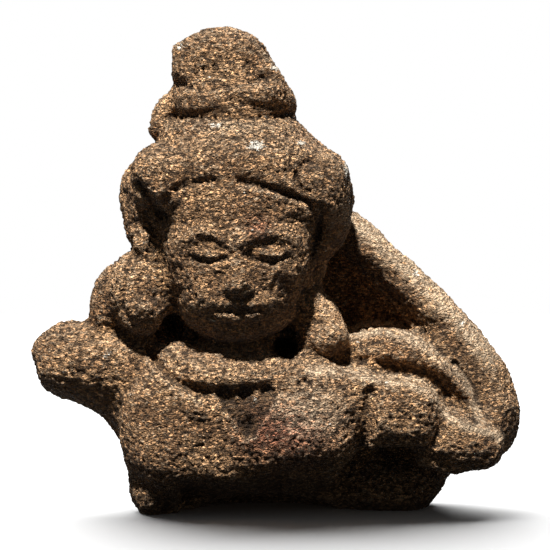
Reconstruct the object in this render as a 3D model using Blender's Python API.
"""A worn sandstone bust of a figure with a tall topknot, carved from one block and broken off at the chest.

Metres, +Z up. The figure faces -Y and its raised left arm is on the +X side. The origin is on the surface
that the stone stands on, under the middle of its box.

The stone is roughed out from overlapping lumps, limbs and slabs, fused into one skin, cut where it is hollow
or broken, worn soft, and then carved with strokes that move the skin. All carving is drawn in millimetres of
the stone at CARVED_HEIGHT, and MM turns them into shares of HEIGHT.
"""

import math

import bmesh
import bpy
import numpy as np
from mathutils import Euler, Matrix, Vector, noise

HEIGHT = 0.2415
CARVED_HEIGHT = 241.5
MM = HEIGHT / CARVED_HEIGHT

ROUGH_GRAIN = 1.9
FINE_GRAIN = 1.5
WEAR_PASSES = 4
FINISH_PASSES = 2
TRIANGLES = 9400

BACK_CHIPS = 14
BROAD_WEAR = (19.0, 1.2)
SMALL_WEAR = (8.0, 0.6)

FACE_X = -18.0
FACE_TOP = 166.0
FACE_LENGTH = 78.0
FACE_WIDTH = 64.0

STONE_COLOUR = (0.235, 0.165, 0.105, 1.0)
STONE_ROUGHNESS = 0.93

FRONT = (0.0, -1.0, 0.0)
ANY_DEPTH = (-99.0, 99.0)
FACE_DEPTH = (-70.0, -14.0)
KNOT_DEPTH = (-70.0, -8.0)
ARM_DEPTH = (-70.0, 6.0)


class Block:
    """Rough shapes of stone, gathered in one mesh until they are fused, in millimetres of carving."""

    def __init__(self):
        self.mesh = bmesh.new()

    def lump(self, centre, radii, turn=(0, 0, 0), square=2.0):
        """An ellipsoid, or a boxier lump where square is above 2, turned in degrees about X, Y and Z."""
        made = bmesh.ops.create_icosphere(self.mesh, subdivisions=4, radius=1.0)
        place = Matrix.Translation(centre) @ Euler([math.radians(a) for a in turn]).to_matrix().to_4x4()
        for vertex in made["verts"]:
            direction = vertex.co
            size = sum(abs(c) ** square for c in direction) ** (1 / square)
            vertex.co = place @ Vector(c / size * r for c, r in zip(direction, radii))

    def limb(self, spine, thickness):
        """A round bar along a smooth curve through the spine's points, with a radius at each of them."""
        curve = bpy.data.curves.new("limb", "CURVE")
        curve.dimensions = "3D"
        curve.bevel_depth = 1.0
        curve.bevel_resolution = 5
        curve.resolution_u = 8
        curve.use_fill_caps = True
        spline = curve.splines.new("BEZIER")
        spline.bezier_points.add(len(spine) - 1)
        for point, place, radius in zip(spline.bezier_points, spine, thickness):
            point.co = place
            point.radius = radius
            point.handle_left_type = point.handle_right_type = "AUTO"
        bar = bpy.data.objects.new("limb", curve)
        bpy.context.scene.collection.objects.link(bar)
        bpy.context.view_layer.update()
        shape = bpy.data.meshes.new_from_object(bar.evaluated_get(bpy.context.evaluated_depsgraph_get()))
        self.mesh.from_mesh(shape)
        bpy.data.objects.remove(bar)
        bpy.data.curves.remove(curve)
        bpy.data.meshes.remove(shape)
        for place, radius in ((spine[0], thickness[0]), (spine[-1], thickness[-1])):
            self.lump(place, (radius,) * 3)

    def slab(self, outline, front, back):
        """A flat slab with an outline in X and Z, from the depth front to the depth back."""
        corners = [self.mesh.verts.new((x, front, z)) for x, z in outline]
        face = self.mesh.faces.new(corners)
        grown = bmesh.ops.extrude_face_region(self.mesh, geom=[face])
        moved = [item for item in grown["geom"] if isinstance(item, bmesh.types.BMVert)]
        bmesh.ops.translate(self.mesh, vec=(0, back - front, 0), verts=moved)

    def wedge(self, edge, rise, run):
        """A cutter below an edge along X. Its top falls by rise for each mm behind the edge, for run mm."""
        reach = 30
        corners = []
        for x, y, z in edge:
            corners += [(x, y - reach, z + rise * reach), (x, y + run, z - rise * run)]
            corners += [(x, y - reach, -reach), (x, y + run, -reach)]
        made = [self.mesh.verts.new(corner) for corner in corners]
        bmesh.ops.convex_hull(self.mesh, input=made)

    def to_object(self, name):
        """The gathered shapes as one object."""
        bmesh.ops.remove_doubles(self.mesh, verts=self.mesh.verts, dist=1e-4)
        bmesh.ops.recalc_face_normals(self.mesh, faces=self.mesh.faces)
        shape = bpy.data.meshes.new(name)
        self.mesh.to_mesh(shape)
        self.mesh.free()
        made = bpy.data.objects.new(name, shape)
        bpy.context.scene.collection.objects.link(made)
        return made


def smooth_step(values):
    """0 to 1 with soft ends, for values from 0 to 1 and flat outside."""
    t = np.clip(values, 0, 1)
    return t * t * (3 - 2 * t)


def smooth_path(points, step=1.0):
    """Points about step apart on a smooth curve through the given ones."""
    ends = [2 * points[0] - points[1], *points, 2 * points[-1] - points[-2]]
    found = []
    for a, b, c, d in zip(ends, ends[1:], ends[2:], ends[3:]):
        count = max(2, math.ceil(np.linalg.norm(c - b) / step))
        for t in np.arange(count) / count:
            bend = (2 * a - 5 * b + 4 * c - d) * t**2
            found.append(0.5 * (2 * b + (c - a) * t + bend + (3 * b - a - 3 * c + d) * t**3))
    return np.array([*found, points[-1]])


class Skin:
    """The surface of a fused object, moved by carving strokes that are drawn in X and Z."""

    def __init__(self, item):
        self.item = item
        self.read()

    def read(self):
        """Takes the points and their normals from the mesh."""
        mesh = self.item.data
        self.points = np.empty(len(mesh.vertices) * 3)
        mesh.vertices.foreach_get("co", self.points)
        self.points = self.points.reshape(-1, 3)
        self.normals = np.empty(len(mesh.vertices) * 3)
        mesh.vertices.foreach_get("normal", self.normals)
        self.normals = self.normals.reshape(-1, 3)

    def write(self):
        """Gives the moved points back to the mesh, and reads the new normals."""
        self.item.data.vertices.foreach_set("co", self.points.ravel())
        self.item.data.update()
        self.read()

    def seen(self, side, depth):
        """1 for points that face a side and lie in a range of depth, and 0 where they turn away from it."""
        facing = smooth_step(self.normals @ np.array(side) / 0.35)
        return facing * ((self.points[:, 1] > depth[0]) & (self.points[:, 1] < depth[1]))

    def stroke(self, path, width, height, side=FRONT, depth=ANY_DEPTH):
        """A ridge along a path, or a groove where height is below 0. It fades out at width from the path."""
        flat = self.points[:, (0, 2)]
        gap = np.full(len(flat), np.inf)
        for place in smooth_path([np.array(p, float) for p in path]):
            gap = np.minimum(gap, np.hypot(*(flat - place).T))
        strength = smooth_step(1 - gap / width) * self.seen(side, depth)
        self.points += self.normals * (strength * height)[:, None]
        self.write()

    def swell(self, centre, radii, height, side=FRONT, depth=ANY_DEPTH):
        """A soft oval swelling, or a hollow where height is below 0."""
        flat = (self.points[:, (0, 2)] - np.array(centre)) / np.array(radii)
        strength = smooth_step(1 - np.hypot(*flat.T)) * self.seen(side, depth)
        self.points += self.normals * (strength * height)[:, None]
        self.write()

    def chip(self, centre, direction, radius):
        """A flat break: takes what stands beyond a plane through centre down to it, within radius."""
        normal = np.array(Vector(direction).normalized())
        offset = self.points - np.array(centre)
        near = smooth_step((radius - np.linalg.norm(offset, axis=1)) / (0.25 * radius))
        self.points -= (np.maximum(offset @ normal, 0) * near)[:, None] * normal
        self.write()


def head(block):
    """The skull and the full mass of the face, turned a little to the figure's left."""
    block.lump((-17, -9, 150), (46, 44, 42))
    block.lump((-17.5, -20, 134), (38.5, 33, 35), square=2.4)
    block.lump((-18, -22, 112), (31, 28.5, 25), square=2.3)


def hair(block):
    """The combed cap of hair, rolled up from the forehead, and the heavy lobes that hang beside the ears."""
    block.lump((-17, -5, 160), (52, 48, 36), square=2.2)
    block.lump((-19, -11, 171), (43, 41, 21), square=2.6)
    block.lump((-47, -23, 167), (24, 26, 18.5), square=2.6)
    block.lump((19.5, -20, 161), (18, 26, 21), square=2.5)
    block.lump((28, -12, 148), (10, 17, 22), turn=(0, 14, 0), square=2.4)
    block.lump((-66, -9, 152.5), (11, 17, 23), turn=(0, -6, 0), square=2.1)


def topknot(block):
    """The knot of hair: a base ring, a broad tier with a loop on each side, and a worn upper tier."""
    block.lump((-21, -8, 189.5), (36.5, 35, 11))
    block.lump((-22, -8, 206), (28, 27, 13), square=3.0)
    block.lump((-54.5, -3, 199), (7, 10, 14), turn=(0, 28, 0))
    block.lump((3, -8, 204), (8.5, 13, 9.5), square=2.4)
    block.lump((-29, -8, 224), (22.5, 22, 17.5), square=3.0)
    block.lump((-10, -8, 219), (13, 17, 17), turn=(0, -33, 0), square=2.6)


def ears(block):
    """Both ears and the heavy round ornaments that stretch their lobes down to the shoulders."""
    block.limb([(-60, -20, 152), (-62, -23, 140), (-62, -21, 124)], [6, 7, 8])
    block.limb([(-72.5, -8, 123), (-80.5, -10, 113), (-83, -9, 99)], [7.5, 9, 9.8])
    block.lump((-67, -18, 112), (15, 15, 19), square=2.3)
    block.lump((-65, -21, 101), (13, 14, 12))
    block.lump((-54, -9, 119), (14, 21, 24))
    block.limb([(25, -12, 150), (21, -14, 130), (15, -14, 111)], [7, 7, 7.5])
    block.lump((22, -15, 96), (12, 13, 18), turn=(0, -24, 0), square=2.2)
    block.lump((25, -18, 89), (12, 13, 12))


def neck(block):
    """The short neck, and the broad collar that dips from the shoulders to the middle of the chest."""
    block.limb([(-20, 2, 62), (-19, 4, 84), (-18, 6, 112)], [30, 25, 26])
    block.lump((-19, -9, 76), (37, 31, 13))
    turns = [math.radians(a) for a in range(-10, 191, 20)]
    upper = [(-20 - 38 * math.cos(t), -4 - 33 * math.sin(t), 82 - 11 * math.sin(t)) for t in turns]
    lower = [(-20 - 41 * math.cos(t), -5 - 34.5 * math.sin(t), 80 - 13 * math.sin(t)) for t in turns]
    block.limb(upper, [7] * len(upper))
    block.limb(lower, [6.5] * len(lower))


def torso(block):
    """The chest, broken across below, the stump of the right shoulder, and the foot that it stands on."""
    block.lump((-19, 0, 46), (57, 38, 42), square=3.4)
    block.lump((-34, -12, 44), (43, 31, 35), square=3.0)
    block.lump((-11, -19, 43), (27, 26.5, 26), square=2.6)
    block.lump((13, -18, 49), (30, 30, 29), square=2.8)
    block.limb([(-56, -4, 66), (-82, -3, 73), (-103, -2, 76)], [24, 22, 20])
    block.limb([(-90, -3, 70), (-73, -4, 54), (-66, -4, 32)], [18, 14.5, 10.5])
    block.lump((-54, -9, 13), (19, 19, 16), square=2.4)
    block.lump((-61, -15, 12), (10.5, 14, 14), square=2.3)


def raised_arm(block):
    """The left arm: shoulder, upper arm in two thick folds, elbow, and forearm bent up behind the head."""
    block.limb([(36, -4, 74), (62, -5, 77), (82, -4, 69), (100, -2, 50)], [15, 15, 14, 11])
    block.lump((36, -20, 58), (24, 21, 16), square=2.5)
    block.slab([(41, 66), (60, 68), (71, 65), (79, 57), (81, 44), (77, 35), (46, 34), (41, 42)], -36, 10)
    block.lump((60, -22, 51), (21, 20, 16), square=2.8)
    block.slab([(66, 50), (82, 53), (98, 47), (113, 37), (113, 29), (104, 23), (90, 20), (70, 25)], -28, 10)
    block.lump((90, -16, 38), (25, 19, 14), turn=(0, 20, 0), square=2.6)
    block.lump((105.5, 4, 46), (19, 19, 22))
    block.limb(
        [(108, 4, 50), (103.5, 6, 68), (84.5, 8, 92), (54, 12, 124.5), (34, 16, 141), (8, 30, 158)],
        [16, 14, 13, 10.8, 11, 12],
    )
    block.lump((-4, 33, 156), (24, 15, 17), turn=(0, -15, 0), square=2.6)


def backing(block):
    """The uneven stone left behind the figure, down to the low block that it stands on under its arm."""
    block.lump((-6, 14, 40), (66, 30, 46), square=3.0)
    block.lump((-20, 13, 78), (46, 27, 30), square=2.6)
    block.lump((50, 38, 94), (25, 10, 60), turn=(0, -38, 0), square=2.8)
    block.lump((70, 18, 47), (36, 24, 34), square=2.6)
    block.lump((26, 37, 90), (40, 10, 44), square=2.6)
    block.lump((60, 14, 66), (32, 18, 20), square=2.6)
    block.lump((56, 12, 12), (31, 26, 14), square=2.6)


def hollows(block):
    """The drilled pockets beside the neck, and the broken face under the chest."""
    block.lump((-51, -14, 94), (7.5, 20, 7.5), turn=(0, 25, 0))
    block.lump((5.5, -16, 82.5), (7, 22, 5.5))
    block.wedge([(-57, -40, 17.5), (-46, -40, 18.5)], 0.75, 23)
    block.wedge([(-47, -40, 19.5), (-12, -40, 19.5)], 0.32, 38)
    block.wedge([(-14, -40, 19.5), (4, -44, 29)], 0.46, 42)
    block.wedge([(3, -44, 29), (41, -44, 31)], 0.62, 33)
    block.lump((-5, -1, -3), (37, 30, 11.5))


def carve_face(skin):
    """A calm, worn face: brows, closed lids, nose, lips and chin by thirds of its length."""
    def at(across, down):
        return (FACE_X + across * FACE_WIDTH / 2, FACE_TOP - down * FACE_LENGTH)

    for hand in (-1, 1):
        skin.swell(at(0.46 * hand, 0.43), (16, 9), -3.0)
        skin.stroke([at(0.12 * hand, 0.37), at(0.45 * hand, 0.31), at(0.85 * hand, 0.37)], 4.5, 1.6)
        skin.swell(at(0.47 * hand, 0.45), (12.5, 7), 3.6)
        skin.stroke([at(0.2 * hand, 0.475), at(0.47 * hand, 0.505), at(0.75 * hand, 0.47)], 3, -1.6)
        skin.swell(at(0.55 * hand, 0.68), (15, 15), 1.4)
        skin.swell(at(0.16 * hand, 0.66), (6, 5.5), 2.6)
    skin.stroke([at(0, 0.34), at(0, 0.5), at(0, 0.64)], 7.5, 4.2)
    skin.swell(at(0, 0.635), (7.5, 9), 3.8)
    skin.stroke([at(-0.3, 0.785), at(0, 0.765), at(0.3, 0.785)], 5.5, 3)
    skin.stroke([at(-0.22, 0.845), at(0, 0.855), at(0.22, 0.845)], 5.5, 2.7)
    skin.stroke([at(-0.36, 0.8), at(0, 0.81), at(0.36, 0.8)], 3, -2.6)
    skin.stroke([at(-0.2, 0.895), at(0, 0.9), at(0.2, 0.895)], 4, -1.8)
    skin.swell(at(0, 0.95), (13, 8), 2.6)


def carve_hair(skin):
    """The hairline, the grooves that part the hair's lobes, a curl, and the bands of the topknot."""
    left = [(-55, 150), (-51, 160), (-42, 165), (-30, 167)]
    right = [(-17, 167.6), (-5, 165), (6, 161.5), (15, 156), (20, 149), (22.5, 138)]
    skin.stroke(left, 3.6, -1.4, depth=FACE_DEPTH)
    skin.stroke(right, 3.6, -2.4, depth=FACE_DEPTH)
    skin.stroke([(8, 178), (9, 170), (13, 161)], 4.5, -1.6, depth=FACE_DEPTH)
    turns = [math.radians(a) for a in range(-30, 231, 30)]
    skin.stroke([(18 + 7 * math.cos(t), 168 + 8 * math.sin(t)) for t in turns], 3, -1.3, depth=FACE_DEPTH)
    skin.stroke([(-67, 163), (-62, 156), (-57, 148)], 5.5, -6)
    skin.stroke([(-74, 160), (-72, 152), (-71, 144)], 4, -2.6)
    skin.stroke([(-52, 198), (-36, 198), (-18, 197.5), (0, 198), (12, 200)], 4, -1.5, depth=KNOT_DEPTH)
    skin.stroke([(-22, 206), (-10, 203), (4, 202)], 4, -1.6, depth=KNOT_DEPTH)
    skin.stroke([(-48, 214), (-34, 211), (-18, 214), (-2, 217)], 4, -1.5, depth=KNOT_DEPTH)
    skin.stroke([(-34, 219), (-22, 225), (-12, 224)], 4, -1.3, depth=KNOT_DEPTH)


def carve_ears(skin):
    """The hollow of each ear and the edges of the ornaments."""
    skin.stroke([(-64, 144), (-60, 140), (-61, 133)], 4.5, -3.6)
    skin.stroke([(-70, 152), (-71, 141), (-69, 132)], 3.5, 1.5)
    skin.swell((-66, 115), (10, 12), -1.8)
    skin.swell((-65, 104), (9, 7), 2.2)
    skin.stroke([(-72, 132), (-66, 128), (-58, 126)], 4, -1.8)
    skin.stroke([(24, 150), (22.5, 142), (20, 132)], 4.5, -3.2)
    skin.swell((20, 97), (8, 10), -1.8)


def carve_collar(skin):
    """The lower edge of the collar, and the scar where its pendant has broken away."""
    skin.stroke([(-62, 82), (-57, 74.5), (-46, 67), (-35, 62.5), (-27, 61)], 3.6, -2.6)
    skin.stroke([(-6, 61.5), (2, 62), (12, 65), (19, 71)], 3.6, -2.6)
    skin.stroke([(-64, 76), (-58, 68), (-46, 60.5), (-34, 56)], 4, 1.0)
    for start in (-24, -14, -4):
        skin.stroke([(start, 62), ((start - 28) / 3, 50), (-14, 44)], 5.5, -1.7)


def carve_arm(skin):
    """The roll of the upper arm, the folds in front of it, the elbow's slit and the forearm's two edges."""
    roll = [(38, 87), (46, 89.5), (59, 87), (69, 82), (79, 77), (88, 70), (95, 62), (99, 52)]
    skin.stroke(roll, 5.5, 1.4, depth=ARM_DEPTH)
    under_roll = [(34, 76), (47, 74), (60, 71.5), (72, 69), (81, 64), (87, 57), (98, 50)]
    skin.stroke(under_roll, 8, -3.0, depth=ARM_DEPTH)
    folds = [(16, 71), (33, 70.5), (46, 67.5), (59, 64.5), (71, 63), (79, 57.5), (84, 49.5), (95, 44)]
    skin.stroke(folds, 4.5, 1.8, depth=ARM_DEPTH)
    skin.stroke([(84, 80), (93, 72), (100, 63), (104, 54)], 5, -3.4, depth=ARM_DEPTH)
    skin.stroke([(84, 52), (82, 44), (78, 37)], 4.5, -2.8)
    skin.stroke([(48, 63), (45.5, 55), (44, 46), (43, 38)], 5, -3.0)
    skin.swell((63, 50), (9, 12), -2.2)
    crest = [(38, 143), (52, 129), (69, 114.5), (84, 99), (99, 82), (109, 67), (115, 52)]
    skin.stroke(crest, 6, 1.6, depth=ARM_DEPTH)
    skin.stroke([(30, 133), (50, 115), (72, 93), (90, 73)], 7, -2.2, depth=ARM_DEPTH)


def break_edges(skin):
    """Flat breaks: the chipped side of the topknot, the shoulder's stump, the foot and the uneven back."""
    skin.chip((-3.5, -6, 228), (0.86, -0.25, 0.45), 14)
    skin.chip((-41, -8, 237), (-0.42, 0, 0.9), 14)
    skin.chip((-122, -4, 78), (-0.9, -0.2, -0.25), 22)
    skin.chip((-113, -4, 91), (-0.6, 0, 0.8), 13)
    skin.chip((-104, -10, 53), (-0.33, -0.3, -0.9), 20)
    skin.chip((84, 0, 10), (0.75, 0, -0.6), 22)
    for count in range(BACK_CHIPS):
        across = -60 + 150 * (count * 0.618 % 1)
        up = 14 + 120 * (count * 0.414 % 1)
        lean = (0.2 * math.sin(2.1 * count), 1.0, 0.2 * math.cos(1.7 * count) + 0.05)
        skin.chip((across, 41 + math.sin(3.1 * count), up), lean, 42)


def weather(skin):
    """Broad, shallow unevenness all over, as frost and handling leave it."""
    for size, height in (BROAD_WEAR, SMALL_WEAR):
        shift = [noise.noise(Vector(p) / size) * height for p in skin.points]
        skin.points += skin.normals * np.array(shift)[:, None]
    skin.write()


def clear_scene():
    """Removes whatever the file starts with."""
    for item in list(bpy.data.objects):
        bpy.data.objects.remove(item)


def applied(item):
    """The object with its modifiers made part of its mesh."""
    bpy.context.view_layer.update()
    shape = bpy.data.meshes.new_from_object(item.evaluated_get(bpy.context.evaluated_depsgraph_get()))
    item.modifiers.clear()
    item.data = shape
    return item


def fused(item, grain):
    """The overlapping shapes as one closed skin, with faces of one size."""
    remesh = item.modifiers.new("fuse", "REMESH")
    remesh.mode = "VOXEL"
    remesh.voxel_size = grain
    return applied(item)


def hollowed(item, cutter):
    """The object with the cutter's shapes taken out of it."""
    cut = item.modifiers.new("hollow", "BOOLEAN")
    cut.operation = "DIFFERENCE"
    cut.object = cutter
    applied(item)
    bpy.data.objects.remove(cutter)
    return item


def worn(item, passes):
    """Edges and creases softened, as weather does."""
    smooth = item.modifiers.new("wear", "SMOOTH")
    smooth.factor = 0.5
    smooth.iterations = passes
    return applied(item)


def thinned(item, triangles):
    """The same form on fewer triangles, most of them where it curves."""
    item.data.calc_loop_triangles()
    thin = item.modifiers.new("thin", "DECIMATE")
    thin.ratio = triangles / len(item.data.loop_triangles)
    return applied(item)


def stand_flat(item):
    """Cuts the stone flat where it stands, and puts the origin there, under the middle of its box."""
    cut = bmesh.new()
    cut.from_mesh(item.data)
    geometry = cut.verts[:] + cut.edges[:] + cut.faces[:]
    up = (0, 0, 1)
    made = bmesh.ops.bisect_plane(cut, geom=geometry, plane_co=(0, 0, 0), plane_no=up, clear_inner=True)
    edges = [e for e in made["geom_cut"] if isinstance(e, bmesh.types.BMEdge)]
    bmesh.ops.holes_fill(cut, edges=edges)
    bmesh.ops.triangulate(cut, faces=cut.faces[:])
    corners = np.array([v.co for v in cut.verts])
    low, high = corners.min(0), corners.max(0)
    middle = (low + high) / 2
    bmesh.ops.translate(cut, vec=(-middle[0], -middle[1], -low[2]), verts=cut.verts)
    bmesh.ops.recalc_face_normals(cut, faces=cut.faces[:])
    cut.transform(Matrix.Scale(MM, 4))
    cut.to_mesh(item.data)
    cut.free()


def stone():
    """The material: brown sandstone."""
    material = bpy.data.materials.new("sandstone")
    material.use_nodes = True
    shader = material.node_tree.nodes["Principled BSDF"]
    shader.inputs["Base Color"].default_value = STONE_COLOUR
    shader.inputs["Roughness"].default_value = STONE_ROUGHNESS
    shader.inputs["Metallic"].default_value = 0.0
    return material


def main():
    """Builds the stone as one object."""
    clear_scene()
    block = Block()
    for form in (head, hair, topknot, ears, neck, torso, raised_arm, backing):
        form(block)
    bust = fused(block.to_object("stone_bust"), ROUGH_GRAIN)
    cutter = Block()
    hollows(cutter)
    hollowed(bust, fused(cutter.to_object("hollows"), ROUGH_GRAIN))
    fused(bust, FINE_GRAIN)
    worn(bust, WEAR_PASSES)
    skin = Skin(bust)
    for carving in (carve_hair, carve_ears, carve_collar, carve_arm, break_edges, carve_face, weather):
        carving(skin)
    worn(bust, FINISH_PASSES)
    thinned(bust, TRIANGLES)
    stand_flat(bust)
    bust.data.materials.append(stone())
    bust.data.shade_smooth()


if __name__ == "__main__":
    main()
